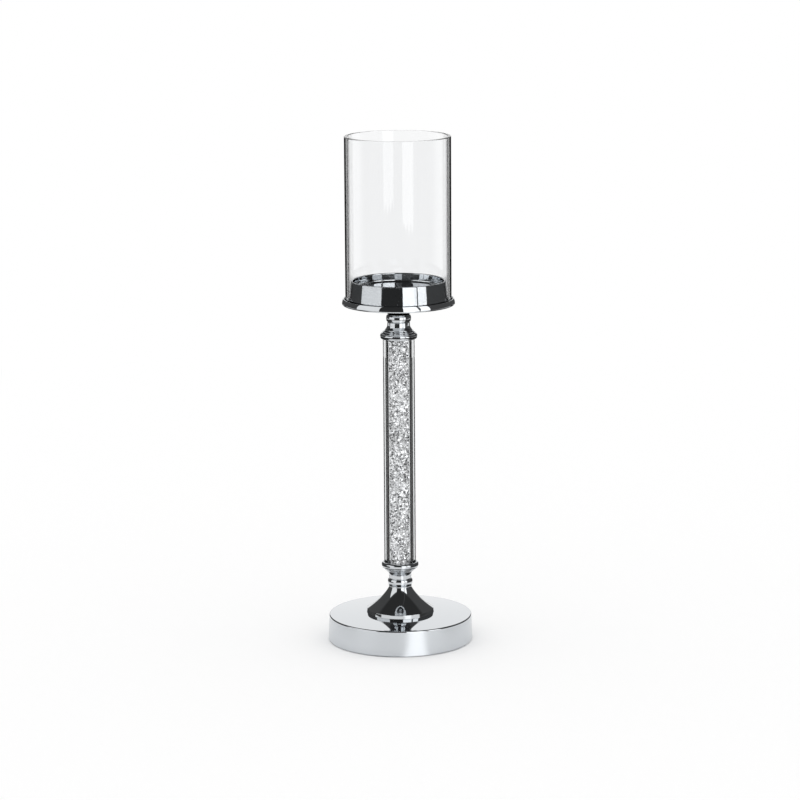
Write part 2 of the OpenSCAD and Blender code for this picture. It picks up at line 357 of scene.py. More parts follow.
@once
def base_chrome(top):
    """Chrome with a mirror top and a satin side, which meet where the edge turns over."""
    finish = bpy.context.scene.holder_finishes
    material, board = new_board("base_chrome")
    spot = board.spot()
    height = board.parts(spot)[2]
    side = 1 - board.step(height, top - finish.satin_down, 0.4 * MM)
    smear = board.step(board.noise(spot, 14 * MM, 4.0, 0.6), 0.6, 0.25)
    grain = board.noise(spot, 0.35 * MM, 2.0)
    mirror = board.between(smear, 0.03, 0.07)
    satin = board.between(grain, finish.satin - 0.03, finish.satin + 0.03)
    board.surface(board.principled({
        "Base Color": board.blend(side, finish.chrome, finish.satin_chrome),
        "Metallic": 1.0,
        "Roughness": mirror * (1 - side) + satin * side,
    }))
    return material


@once
def clear_glass(name, tint, wipe):
    """Clear glass with a trace of wiping marks in its polish."""
    material, board = new_board(name)
    mark = board.step(board.noise(board.spot(), wipe, 5.0, 0.65), 0.66, 0.2)
    board.surface(board.principled({
        "Base Color": tint,
        "Roughness": board.between(mark, 0.0, 0.02),
        "IOR": 1.5,
        "Transmission Weight": 1.0,
    }))
    return material


@once
def crystal():
    """Crushed crystal: each facet has its own tone, from dark through white to silvered, and the palest
    facets glow with a painted sparkle.
    """
    material, board = new_board("crushed_crystal")
    tone = board.node("ShaderNodeAttribute", {"attribute_name": "tone"}, {}, out="Fac")
    board.surface(board.principled({
        "Base Color": board.blend(board.step(tone, 0.2, 0.08), (0.02, 0.021, 0.023), (1.0, 1.0, 1.0)),
        "Metallic": board.between(tone, 0.2, 0.85),
        # Painted light: the palest facets give off a faint grey glow that stands in for sparkle
        "Emission Color": board.blend(board.step(tone, 0.72, 0.08), (0.0, 0.0, 0.0), (0.28, 0.28, 0.29)),
        "Emission Strength": 1.0,
        "Roughness": board.between(tone, 0.15, 0.05),
        "IOR": 1.5,
    }))
    return material


@once
def zinc_steel():
    """Zinc plated steel with cloudy spangle."""
    material, board = new_board("zinc_steel")
    spot = board.spot()
    cloud = board.noise(spot, 2.5 * MM, 3.0)
    board.surface(board.principled({
        "Base Color": board.blend(cloud, (0.5, 0.5, 0.5), (0.72, 0.73, 0.74)),
        "Metallic": 1.0,
        "Roughness": board.between(cloud, 0.25, 0.45),
        "Normal": board.bump(board.noise(spot, 0.4 * MM), 0.03 * MM, 0.5),
    }))
    return material


@once
def weight_iron():
    """Cast iron with a grainy skin."""
    material, board = new_board("weight_iron")
    spot = board.spot()
    grain = board.noise(spot, 1.2 * MM, 5.0, 0.6)
    board.surface(board.principled({
        "Base Color": board.blend(grain, (0.07, 0.07, 0.075), (0.19, 0.18, 0.17)),
        "Metallic": 0.6,
        "Roughness": board.between(grain, 0.6, 0.8),
        "Normal": board.bump(grain, 0.25 * MM, 0.8),
    }))
    return material


@once
def soft_gasket():
    """Pale soft plastic with a matt, slightly cloudy surface."""
    material, board = new_board("soft_gasket")
    cloud = board.noise(board.spot(), 1.5 * MM, 3.0)
    board.surface(board.principled({
        "Base Color": board.blend(cloud, (0.62, 0.62, 0.61), (0.8, 0.8, 0.79)),
        "Roughness": board.between(cloud, 0.5, 0.7),
    }))
    return material


@once
def dark_board():
    """Black fibre board with short fibres."""
    material, board = new_board("dark_board")
    fibre = board.noise(board.spot(), 0.6 * MM, 5.0, 0.7)
    board.surface(board.principled({
        "Base Color": board.blend(fibre, (0.012, 0.012, 0.014), (0.05, 0.05, 0.055)),
        "Roughness": board.between(fibre, 0.7, 0.9),
        "Normal": board.bump(fibre, 0.08 * MM, 0.7),
    }))
    return material


@once
def dark_felt():
    """Black felt: tangled fibres that lift the light at a low angle."""
    material, board = new_board("dark_felt")
    spot = board.spot()
    tuft = board.noise(spot, 1.6 * MM, 6.0, 0.75)
    fibre = board.noise(spot, 0.25 * MM, 3.0, 0.7)
    board.surface(board.principled({
        "Base Color": board.blend(tuft, (0.008, 0.008, 0.01), (0.045, 0.045, 0.05)),
        "Roughness": board.between(fibre, 0.85, 1.0),
        "Sheen Weight": 0.4,
        "Normal": board.bump(tuft + fibre * 0.5, 0.3 * MM, 0.9),
    }))
    return material


# Property groups

def length(name, description, default):
    """Property for a length in metres."""
    return FloatProperty(
        name=name, description=description, default=default, min=0, unit="LENGTH", precision=5,
    )


def share(name, description, default):
    """Property for a share, as a rule from 0 to 1."""
    return FloatProperty(name=name, description=description, default=default, min=0, soft_max=1)


def colour(name, description, default):
    """Property for a colour."""
    return FloatVectorProperty(
        name=name, description=description, default=default, size=3, min=0, max=1, subtype="COLOR",
    )


class HolderFinishes(PropertyGroup):
    """Colours and polish of the holder's surfaces."""
    chrome: colour("Chrome", "Colour of the mirror chrome", (0.60, 0.62, 0.64))
    smeared_chrome: colour("Smeared chrome", "Colour of the chrome under a smear", (0.57, 0.59, 0.61))
    satin_chrome: colour("Satin chrome", "Colour of the base's satin side", (0.62, 0.645, 0.67))
    satin: share("Satin", "Roughness of the base's satin side", 0.24)
    satin_down: length("Satin down", "How far below the top edge the satin starts", 1.5 * MM)
    glass: colour("Glass", "Tint of the glass shade", (0.992, 0.996, 1.0))
    tube: colour("Tube", "Tint of the column's tube", (0.97, 0.98, 0.985))


class BaseShape(PropertyGroup):
    """Sizes of the base that its box doesn't give."""
    lean: length("Lean", "How far the side leans in from foot to top", 0.85 * MM)
    wall: length("Wall", "Sheet thickness", 1.2 * MM)
    foot_round: length("Foot rounding", "Rounding of the foot", 1.0 * MM)
    top_round: length("Top rounding", "Rounding of the top edge", 2.2 * MM)
    crown: length("Crown", "How much higher the top is at the bell foot than at its edge", 1.6 * MM)
    flange: length("Flange", "Width of the flange rolled in under the base", 3.4 * MM)


class BellShape(PropertyGroup):
    """Sizes of the bell foot that its box doesn't give."""
    neck: length("Neck", "Radius of the neck", 9.0 * MM)
    ledge: length("Ledge", "How far the side starts in from the rim", 0.4 * MM)
    band: length("Band", "Height of the rim", 3.1 * MM)
    lean: length("Lean", "How far the rim leans in", 0.35 * MM)
    cone: share("Cone", "Share of the side that is a plain cone", 0.55)
    bow: FloatProperty(name="Bow", description="How strongly the rest curves out", default=2.3, min=1)
    ring_height: length("Ring height", "Height of the ring on the neck", 0.8 * MM)
    ring_rise: length("Ring rise", "How far the ring stands out", 0.6 * MM)
    groove: length("Groove", "Depth of the groove under the ring", 0.3 * MM)
    wall: length("Wall", "Radial wall", 2.0 * MM)
    cap: length("Cap", "Thickness of the top", 3.0 * MM)
    solid: share("Solid", "Share of the side under the neck that isn't hollow", 0.12)


class FerruleShape(PropertyGroup):
    """Sizes of the two ferrules, measured from the mouth."""
    neck: length("Neck", "Radius of the neck", 9.3 * MM)
    bead_rise: length("Bead rise", "How far the bead stands out", 0.95 * MM)
    bead_height: length("Bead height", "Height of the bead", 5.8 * MM)
    bead_peak: share("Bead peak", "Where the bead is widest, as a share of its height", 0.58)
    groove: length("Groove", "Depth of the groove beside the bead", 0.3 * MM)
    neck_lean: length("Neck lean", "How much narrower the neck is at the bead", 0.12 * MM)
    neck_depth: length("Neck depth", "Where the neck starts to flare", 11.5 * MM)
    ledges: IntProperty(name="Ledges", description="How many ledges the flare has", default=3, min=1)
    first_ledge: length("First ledge", "Depth of the ledge nearest to the mouth", 4.3 * MM)
    first_share: share("First share", "Its radius, as a share from neck to mouth", 0.875)
    pitch: length("Pitch", "Distance from ledge to ledge", 1.5 * MM)
    share_step: share("Share step", "How much each ledge's share is smaller than the one before", 0.28)
    rise: length("Rise", "Height of each ledge's upright step", 0.3 * MM)
    mouth_band: length("Mouth band", "Height of the band round the mouth", 2.6 * MM)
    under_round: length("Under rounding", "Rounding under the mouth's band", 2.2 * MM)
    lead: length("Lead", "Bevel at the opening of the seat", 0.2 * MM)
    seat_depth: length("Seat depth", "Depth of the seat for the tube", 2.6 * MM)
    seat_play: length("Seat play", "Play of the tube in its seat", 0.2 * MM)
    pocket: length("Pocket", "Depth of the sleeve's pocket below the seat", 2.5 * MM)


class ColumnShape(PropertyGroup):
    """Sizes of the tube's filling."""
    edge: length("Edge", "Rounding of the tube's ends", 0.3 * MM)
    play: length("Play", "Gap between the crystals and the bore", 0.1 * MM)
    bore_in: length("Bore in", "How much narrower the tube's bore looks", 0.4 * MM)
    sleeve_wall: length("Sleeve wall", "Wall of the bright sleeve", 0.8 * MM)
    chips: IntProperty(name="Chips", description="How many chips fill the tube", default=6400, min=1)
    chip: length("Chip", "Size of a middling chip", 2.6 * MM)
    depth: length("Depth", "Thickness of the packed layer behind the bore", 1.6 * MM)
    seed: IntProperty(name="Seed", description="Start of the random order of the chips", default=7)


class ShadeShape(PropertyGroup):
    """Sizes of the glass shade that its box doesn't give."""
    wall: length("Wall", "Thickness of the glass", 2.6 * MM)
    top_round: length("Top rounding", "Rounding of the fire-polished rim", 0.7 * MM)
    foot_round: length("Foot rounding", "Rounding of the foot", 0.4 * MM)


class TrayShape(PropertyGroup):
    """Sizes of the tray and its hub that their boxes don't give."""
    sheet: length("Sheet", "Sheet thickness", 1.0 * MM)
    lip: length("Lip", "Thickness of the lip", 0.9 * MM)
    glass_play: length("Glass play", "Play of the glass inside the lip", 0.95 * MM)
    lip_low: FloatProperty(name="Lip foot slope", description="In degrees, at the foot", default=2, min=0)
    lip_high: FloatProperty(name="Lip top slope", description="In degrees, at the top", default=26, min=0)
    foot_round: length("Foot rounding", "Rounding where the lip turns up", 1.0 * MM)
    hub: length("Hub", "Radius of the hub's lower end", 9.05 * MM)
    hub_straight: length("Hub straight", "Height of the hub's straight end", 2.4 * MM)
    hub_flange: length("Hub flange", "Thickness of the hub's flange", 1.2 * MM)


class CupShape(PropertyGroup):
    """Sizes of the candle cup that its box doesn't give."""
    sheet: length("Sheet", "Sheet thickness", 0.75 * MM)
    pan: length("Pan", "Inside radius of the pan", 37.3 * MM)
    pan_depth: length("Pan depth", "Depth of the pan below the rim", 7.1 * MM)
    pan_lean: length("Pan lean", "How much narrower the pan is at its floor", 0.5 * MM)
    pan_round: length("Pan rounding", "Rounding between the pan's wall and floor", 1.5 * MM)


class StudioSetup(PropertyGroup):
    """Camera and light of the studio."""
    distance: length("Distance", "How far the camera stands in front of the axis", 2.4627)
    height: length("Height", "Height of the camera above the table", 0.691)
    aside: FloatProperty(
        name="Aside", description="How far the camera stands to the right", default=0.00074, unit="LENGTH",
    )
    tilt: FloatProperty(
        name="Tilt", description="How far the camera looks down", default=math.radians(11.219),
        subtype="ANGLE",
    )
    roll: FloatProperty(
        name="Roll", description="How far the camera leans about its own axis", default=math.radians(-0.355),
        subtype="ANGLE",
    )
    lens: FloatProperty(name="Lens", description="Focal length in millimetres", default=137.3)
    floor: length("Floor", "Radius of the round table top", 1.3)
    key: FloatProperty(name="Key card", description="Brightness of the white card on the right", default=1.9)
    strip: FloatProperty(name="Strip card", description="Brightness of the card beside it", default=1.75)
    fill: FloatProperty(name="Fill card", description="Brightness of the grey card on the left", default=1.15)
    back: FloatProperty(name="Backdrop", description="Brightness of the backdrop", default=1.1)
    dark: FloatProperty(name="Dark", description="Brightness of the dark flags at the sides", default=0.08)
    glare: FloatProperty(name="Glare", description="Light of the key card on the table", default=0.6)
    black: FloatProperty(name="Black", description="Brightness of the dark room", default=0.035)


# Operators

class HOLDER_OT_base(Operator):
    """Base shell with its mirror top and satin side. The top rises from its edge to the bell foot's rim by
    crown (1 - (r / edge)^2) / (1 - (rim / edge)^2)"""
    bl_idname = "holder.base"
    bl_label = "Base"

    def execute(self, context):
        shape = context.scene.holder_base
        foot, bottom, crown = span("base_shell")
        bell = span("bell_foot")[0]
        bore = hole()
        top = crown - shape.crown
        edge = foot - shape.lean
        floor = bottom + shape.wall
        inner_foot = foot - shape.wall - shape.lean * shape.wall / (top - bottom)
        flat_edge = edge - shape.top_round
        across = np.linspace(flat_edge - SUPPORT, bell, CURVE_STEPS // 2)
        rise = shape.crown * (1 - (across / flat_edge) ** 2) / (1 - (bell / flat_edge) ** 2)
        piece = turned("base_turned", rounded([
            (foot - shape.flange, bottom, EDGE_ROUND),
            (foot, bottom, shape.foot_round),
            (edge, top, shape.top_round),
            *curve(zip(across, top + rise)),
            (bell - SUPPORT, crown, None),
            (bore, crown, EDGE_ROUND),
            (bore, top - shape.wall, EDGE_ROUND),
            (edge - shape.wall, top - shape.wall, EDGE_ROUND),
            (inner_foot, floor, EDGE_ROUND),
            (foot - shape.flange, floor, EDGE_ROUND),
        ]))
        place_piece(piece, "stand", "polished_chrome", base_chrome(top), "base_shell")
        return {"FINISHED"}


class HOLDER_OT_bell(Operator):
    """Bell foot: its side is neck + reach (cone s + (1 - cone) s^bow), with s from its neck to its rim"""
    bl_idname = "holder.bell"
    bl_label = "Bell foot"

    def execute(self, context):
        shape = context.scene.holder_bell
        rim, bottom, top = span("bell_foot")
        bore = hole()
        reach = rim - shape.ledge - shape.neck
        side_foot = bottom + shape.band
        side_top = top - shape.ring_height - shape.groove
        down = np.linspace(1, 0, CURVE_STEPS + 1)
        side = shape.neck + reach * (shape.cone * down + (1 - shape.cone) * down ** shape.bow)
        heights = side_top - (side_top - side_foot) * down
        inside = down > shape.solid
        inner = side[inside][::-1] - shape.wall
        inner_heights = heights[inside][::-1]
        ring = shape.neck + shape.ring_rise
        piece = turned("bell_turned", rounded([
            (rim - shape.ledge - shape.wall, bottom, EDGE_ROUND),
            (rim, bottom, EDGE_ROUND),
            (rim - shape.lean, side_foot - shape.ledge / 2, SOFT_ROUND),
            *curve(zip(side, heights)),
            (shape.neck, top - shape.ring_height, RING_FOOT_ROUND),
            (ring, top - shape.ring_height, CREASE_ROUND),
            (ring, top, RING_TOP_ROUND),
            (bore, top, EDGE_ROUND),
            (bore, top - shape.cap, EDGE_ROUND),
            (shape.neck - shape.wall, top - shape.cap, EDGE_ROUND),
            *curve(zip(inner, inner_heights)),
        ]))
        place_piece(piece, "stand", "polished_chrome", polished_chrome(), "bell_foot")
        return {"FINISHED"}


def ferrule_outline(shape, mouth, height, tube, sleeve, bore):
    """Outline of a ferrule that stands on its bead end, with its mouth up at the given height. Its bead is
    neck + rise sqrt(1 - s^2), where s runs from -1 at either end of the bead to 0 where it is widest."""
    neck = shape.neck
    ledges = []
    for index in reversed(range(shape.ledges)):
        radius = neck + (mouth - neck) * (shape.first_share - shape.share_step * index)
        depth = shape.first_ledge + shape.pitch * index
        ledges.append((radius, height - depth - shape.rise, CREASE_ROUND))
        ledges.append((radius, height - depth, CREASE_ROUND))
    cove, cove_height, _ = ledges.pop(0)
    narrow = neck - shape.neck_lean
    swing = np.linspace(0, math.pi, 4 * ARC_STEPS + 1)
    peak = shape.bead_height * shape.bead_peak
    reach = np.where(swing < math.pi / 2, peak, shape.bead_height - peak)
    bead_rise = shape.bead_rise + shape.neck_lean
    up = np.linspace(0, 1, CURVE_STEPS // 2 + 1)
    flare_foot = height - shape.neck_depth
    seat = tube + shape.seat_play
    lip = mouth - seat - shape.lead - shape.lead / 4
    seat_floor = height - shape.seat_depth
    pocket = seat_floor - shape.pocket
    return [
        (bore, 0, EDGE_ROUND),
        *curve(zip(narrow + bead_rise * np.sin(swing), peak - reach * np.cos(swing))),
        (narrow - shape.groove, shape.bead_height + shape.groove, GROOVE_ROUND),
        (narrow, shape.bead_height + 2 * shape.groove, GROOVE_ROUND),
        *curve(zip(neck + (cove - neck) * up ** 2, flare_foot + (cove_height - flare_foot) * up)),
        *ledges,
        *arc(mouth - shape.under_round, height - shape.mouth_band, shape.under_round, -45, 0, 10),
        *arc(mouth - lip, height - lip, lip, 0, 90, 12),
        (seat + shape.lead, height, MOUTH_ROUND),
        (seat, height - shape.lead, LEAD_ROUND),
        (seat, seat_floor, EDGE_ROUND),
        (sleeve, seat_floor, EDGE_ROUND),
        (sleeve, pocket, EDGE_ROUND),
        (bore, pocket, EDGE_ROUND),
    ]


class HOLDER_OT_ferrules(Operator):
    """The two ferrules, which are the same turning, and the upper one stands on its head"""
    bl_idname = "holder.ferrules"
    bl_label = "Ferrules"

    def execute(self, context):
        shape = context.scene.holder_ferrule
        tube = span("column_tube")[0]
        sleeve = span("core_sleeve")[0] + SLEEVE_PLAY
        bore = hole()
        for node, sign in (("lower_ferrule", 1), ("upper_ferrule", -1)):
            mouth, bottom, top = span(node)
            start = bottom if sign > 0 else top
            outline = [
                (radius, start + sign * height, bend)
                for radius, height, bend in ferrule_outline(shape, mouth, top - bottom, tube, sleeve, bore)
            ]
            piece = turned(node + "_turned", rounded(outline))
            place_piece(piece, "stand", "polished_chrome", polished_chrome(), node)
        return {"FINISHED"}


class HOLDER_OT_column(Operator):
    """Clear tube, crushed crystal and the bright sleeve behind it"""
    bl_idname = "holder.column"
    bl_label = "Column"

    def execute(self, context):
        shape = context.scene.holder_column
        finish = context.scene.holder_finishes
        outer, bottom, top = span("column_tube")
        fill, fill_bottom, fill_top = span("crystal_fill")
        fill -= shape.bore_in
        bore = fill + shape.play
        tube = turned("tube_clear", rounded([
            (bore, bottom, shape.edge),
            (outer, bottom, shape.edge),
            (outer, top, shape.edge),
            (bore, top, shape.edge),
        ]))
        glass = clear_glass("clear_tube", tuple(finish.tube), 12 * MM)
        place_piece(tube, "stand", "clear_tube", glass, "column_tube")

        sleeve, sleeve_bottom, sleeve_top = span("core_sleeve")
        bright = turned("sleeve_bright", rounded([
            (sleeve - shape.sleeve_wall, sleeve_bottom, EDGE_ROUND),
            (sleeve, sleeve_bottom, EDGE_ROUND),
            (sleeve, sleeve_top, EDGE_ROUND),
            (sleeve - shape.sleeve_wall, sleeve_top, EDGE_ROUND),
        ]))
        place_piece(bright, "stand", "polished_chrome", polished_chrome(), "core_sleeve")

        chips = crystal_chips(shape, fill, fill_bottom, fill_top)
        place_piece(chips, "stand", "crushed_crystal", crystal(), "crystal_fill")
        return {"FINISHED"}


# Chips at random: spread of their sizes, bounds of their stretch and their dents, stray in radians
CHIP_SPREAD = 0.22
CHIP_STRETCH = (0.6, 1.25)
CHIP_DENT = (-0.3, 0.15)
CHIP_STRAY = 0.06


def crystal_chips(shape, fill, bottom, top):
    """Chips packed behind the bore: each is an eight-sided solid, stretched, dented and turned at random.
    A chip's place is radius = fill - size - depth u^2, angle = 2 pi v and height = bottom + (top - bottom) w,
    where v and w come from an even spread and u from the random order."""
    random = np.random.default_rng(shape.seed)
    count = shape.chips
    golden = (1 + math.sqrt(5)) / 2
    corners = np.array([[1, 0, 0], [0, 1, 0], [-1, 0, 0], [0, -1, 0], [0, 0, 1], [0, 0, -1]])
    faces = np.array([[0, 1, 4], [1, 2, 4], [2, 3, 4], [3, 0, 4], [1, 0, 5], [2, 1, 5], [3, 2, 5], [0, 3, 5]])
    size = shape.chip / 2 * np.exp(random.normal(0, CHIP_SPREAD, (count, 1, 1)))
    stretch = random.uniform(*CHIP_STRETCH, (count, 1, 3))
    dent = 1 + random.uniform(*CHIP_DENT, (count, len(corners), 1))
    turns, _ = np.linalg.qr(random.normal(0, 1, (count, 3, 3)))
    turns *= np.sign(np.linalg.det(turns))[:, None, None]
    places = (corners[None] * dent * stretch * size) @ turns
    half = np.abs(places).max(axis=(1, 2))
    order = np.arange(count)
    angle = order * (2 * math.pi * (golden - 1)) + random.normal(0, CHIP_STRAY, count)
    radius = fill - half - shape.depth * random.uniform(0, 1, count) ** 2
    height = bottom + half + (top - bottom - 2 * half) * (order + 0.5) / count
    centre = np.stack([radius * np.cos(angle), radius * np.sin(angle), height], axis=1)
    places = (places + centre[:, None]).reshape(-1, 3)
    reach = np.hypot(places[:, 0], places[:, 1])
    places[:, :2] *= np.minimum(1, fill / np.maximum(reach, 1e-9))[:, None]
    places[:, 2] = places[:, 2].clip(bottom, top)
    all_faces = (faces[None] + (order * len(corners))[:, None, None]).reshape(-1, 3)
    chips = surface("crystal_chips", places, all_faces, smooth=False)
    tone = chips.data.attributes.new("tone", "FLOAT", "FACE")
    tone.data.foreach_set("value", random.uniform(0, 1, len(all_faces)))
    return chips


class HOLDER_OT_tray(Operator):
    """Pressed tray with its upturned lip, and the turned hub under it"""
    bl_idname = "holder.tray"
    bl_label = "Tray"

    def execute(self, context):
        shape = context.scene.holder_tray
        rim, bottom, top = span("shade_tray")
        bore = hole()
        floor = bottom + shape.sheet
        half = shape.lip / 2
        crown = span("glass_shade")[0] + shape.glass_play + half
        crown_height = top - half
        low = math.radians(shape.lip_low)
        high = math.radians(shape.lip_high)
        foot = shape.foot_round
        rise = crown_height - bottom - foot + half * math.sin(high) - foot * math.sin(low)
        bow = rise / (math.sin(high) - math.sin(low))
        centre = crown - (bow - half) * math.cos(high)
        centre_height = crown_height - (bow - half) * math.sin(high)
        tray = turned("tray_pressed", rounded([
            (bore, bottom, EDGE_ROUND),
            *arc(rim - foot, bottom + foot, foot, -90, shape.lip_low - 8, 8),
            *arc(centre, centre_height, bow, shape.lip_low, shape.lip_high, 10),
            *arc(crown, top - half, half, shape.lip_high + 8, 180, 10),
            (rim - shape.lip, floor, EDGE_ROUND),
            (bore, floor, EDGE_ROUND),
        ]))
        place_piece(tray, "stand", "polished_chrome", polished_chrome(), "shade_tray")

        flange, hub_bottom, hub_top = span("tray_hub")
        up = np.linspace(0, 1, CURVE_STEPS // 2 + 1)
        flare_foot = hub_bottom + shape.hub_straight
        flare_top = hub_top - shape.hub_flange
        flare = zip(shape.hub + (flange - shape.hub) * up ** 2, flare_foot + (flare_top - flare_foot) * up)
        hub = turned("hub_turned", rounded([
            (bore, hub_bottom, EDGE_ROUND),
            (shape.hub, hub_bottom, EDGE_ROUND),
            *curve(flare),
            (flange, hub_top, EDGE_ROUND),
            (bore, hub_top, EDGE_ROUND),
        ]))
        place_piece(hub, "stand", "polished_chrome", polished_chrome(), "tray_hub")
        return {"FINISHED"}


class HOLDER_OT_cup(Operator):
    """Candle cup: a sloping skirt, a rolled rim and a shallow pan with a dimple for its screw"""
    bl_idname = "holder.cup"
    bl_label = "Candle cup"

    def execute(self, context):
        shape = context.scene.holder_cup
        foot, bottom, top = span("candle_cup")
        screw = span("cup_screw")[0]
        bore = hole()
        sheet = shape.sheet
        pan = shape.pan
        floor = top - shape.pan_depth
        dimple = screw + 2 * SCREW_PLAY
        dimple_floor = floor - (screw - span("tie_rod")[0]) - SCREW_PLAY
        land = dimple_floor - sheet
        slant = 0.8 * sheet
        cup = turned("cup_pressed", rounded([
            (foot - sheet, bottom, EDGE_ROUND),
            (foot, bottom, EDGE_ROUND),
            *arc(pan + sheet, top - sheet, sheet, 0, 180, 12),
            (pan - shape.pan_lean, floor, shape.pan_round),
            (dimple, floor, SOFT_ROUND),
            (bore, dimple_floor, EDGE_ROUND),
            (bore, land, EDGE_ROUND),
            (bore + slant, land, EDGE_ROUND),
            (dimple + slant, floor - sheet, EDGE_ROUND),
            (pan + sheet, floor - sheet, shape.pan_round + sheet),
            (pan + sheet, top - 1.6 * sheet, EDGE_ROUND),
        ]))
        place_piece(cup, "stand", "polished_chrome", polished_chrome(), "candle_cup")
        return {"FINISHED"}


class HOLDER_OT_shade(Operator):
    """Open glass cylinder with fire-polished rims"""
    bl_idname = "holder.shade"
    bl_label = "Glass shade"

    def execute(self, context):
        shape = context.scene.holder_shade
        outer, bottom, top = span("glass_shade")
        inner = outer - shape.wall
        glass = turned("glass_blown", rounded([
            (inner, bottom, shape.foot_round),
            (outer, bottom, shape.foot_round),
            (outer, top, shape.top_round),
            (inner, top, shape.top_round),
        ]))
        finish = clear_glass("clear_glass", tuple(context.scene.holder_finishes.glass), 40 * MM)
        place_piece(glass, "shade", "clear_glass", finish, "glass_shade")
        return {"FINISHED"}


class HOLDER_OT_hidden_parts(Operator):
    """Finishes of the rod, nuts, washers, screw, weight, gaskets, plate and felt, in their CAD shapes"""
    bl_idname = "holder.hidden_parts"
    bl_label = "Inner parts"

    def execute(self, context):
        finishes = {
            zinc_steel: ["tie_rod", "coupling_nut", "tray_washer", "base_nut", "base_washer", "cup_screw"],
            weight_iron: ["base_weight"],
            soft_gasket: ["upper_gasket", "lower_gasket"],
            dark_board: ["base_plate"],
            dark_felt: ["base_felt"],
        }
        for finish, nodes in finishes.items():
            for node in nodes:
                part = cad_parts[node]
                for slot in part.material_slots:
                    slot.material = finish()
        return {"FINISHED"}


# The studio in degrees: round the axis from the camera's side to the right, and in height from the horizon.
# Windows are (from, to, width of their soft ends) and edges are (place, width of the ramp).
FRONT = (-40, 10, 0.6)
KEY = (10, 44.4, 0.6)
STRIP = (44.4, 68, 0.8)
FILL = (-94, -40, 0.8)
CARD_FOOT = (-5.7, 0.5)
CARD_TOP = (47, 2.0)
CEILING = (50, 6)
BACKDROP = (162, 3)
BACKDROP_FOOT = (0.5, 1.0)
BACKDROP_TOP = (34, 4)
KEY_EDGE = (36.5, 1.0)

# Dark gap between key and strip card, which is wider high up
GAP_HALF = 1.4
GAP_WIDER = (10, 4)
GAP_SOFT = 0.5

# Heights that only the glass shade mirrors, and those below it that the column's tube mirrors
GLASS_TOP = (-6.0, 0.1)
GLASS_FOOT = (-8.9, 0.06)
TUBE_TOP = (-9.8, 0.2)
TUBE_WALL = (146, 0.5)
TUBE_BACK = (157, 2)

# The key card's foot, which the glass shows as two streaks with toothed ends: the front wall's reaches lower
STREAK_MIDDLE = 24
STREAK_END = (34, 0.5)
STREAK_FOOT = -8.16
STREAK_SLOPE = 0.008
STREAK_TOP = (-5.9, 0.2)
STREAK_SOFT = 0.05
STREAK_LEVEL = 1.5
TOOTH_WIDTH = 3.6
TOOTH_SLOPE = 0.06
BACK_WALL = (3, 0.5)
BACK_WALL_LIFT = 0.39

# Brightness of the low wall by degrees from the camera's side, which draws the glass's edges
WALL_LEVELS = [
    (0, 0.25), (80, 0.32), (96, 0.7), (108, 0.9), (130, 0.9), (134, 0.35), (136, 0.03), (146, 0.03),
    (147, 0.6), (152, 0.5), (154, 0.0), (180, 0.0),
]


def grey_stops(levels):
    """Stops of a grey ramp over half a turn."""
    return [(degrees / 180, (level, level, level)) for degrees, level in levels]


def studio_world(setup):
    """Studio that the chrome mirrors, by direction: a white card to the right, a grey card to the left, a
    narrow backdrop, dark flags and a dark ceiling. Whatever was not mirrored yet meets plain white."""
    world = bpy.data.worlds.new("studio")
    board = Board(world)
    world.cycles.sampling_method = "NONE"
    right, away, up = board.parts(board.node("ShaderNodeTexCoord", {}, {}, out="Generated"))
    degrees = 180 / math.pi
    round_axis = board.math("ARCTAN2", right, -1 * away) * degrees
    height = board.math("ARCSINE", up) * degrees

    around = abs(round_axis)

    def window(low, high, soft):
        return board.step(round_axis, low, soft) * (1 - board.step(round_axis, high, soft))

    under_top = 1 - board.step(height, *CARD_TOP)
    card = board.step(height, *CARD_FOOT) * under_top
    level = board.between(window(*FRONT), setup.dark, setup.black)
    level = board.between(board.step(height, *CEILING), level, setup.black)

    wall = board.node("ShaderNodeValToRGB", {"stops": grey_stops(WALL_LEVELS)}, {0: around / 180})
    wall_level = board.between(board.step(height, *GLASS_FOOT), wall * board.step(around, *TUBE_WALL), wall)
    level = board.between(1 - board.step(height, *GLASS_TOP), level, wall_level)

    deep = board.step(board.path("Transmission Depth"), *BACK_WALL)
    aside = round_axis - STREAK_MIDDLE
    teeth = board.math("PINGPONG", aside, TOOTH_WIDTH) * TOOTH_SLOPE
    point = teeth + abs(aside) * STREAK_SLOPE + deep * BACK_WALL_LIFT + STREAK_FOOT
    foot = board.between(board.step(round_axis, *STREAK_END), point, CARD_FOOT[0])
    key = window(*KEY) * board.step(height, foot, STREAK_SOFT) * under_top
    key_level = board.between(board.step(round_axis, *KEY_EDGE), setup.key, setup.strip)
    key_level = board.between(board.step(height, *STREAK_TOP), STREAK_LEVEL, key_level)
    level = board.between(key, level, key_level)

    level = board.between(window(*STRIP) * card, level, setup.strip)
    gap_half = GAP_HALF + board.step(height, *GAP_WIDER) * GAP_HALF
    gap = 1 - board.step(abs(round_axis - KEY[1]), gap_half, GAP_SOFT)
    level = board.between(gap, level, setup.dark)
    level = board.between(window(*FILL) * card, level, setup.fill)

    back_heights = (1 - board.step(height, *BACKDROP_TOP)) * board.step(height, *BACKDROP_FOOT)
    level = board.between(board.step(around, *BACKDROP) * back_heights, level, setup.back)
    tube_back = (1 - board.step(height, *TUBE_TOP)) * board.step(around, *TUBE_BACK)
    level = board.between(tube_back, level, 1.0)
    strength = board.between(board.mirrored(), 1.0, level)
    light = board.node("ShaderNodeBackground", {}, {"Color": (1.0, 1.0, 1.0), "Strength": strength})
    board.node("ShaderNodeOutputWorld", {}, {"Surface": light})
    return world
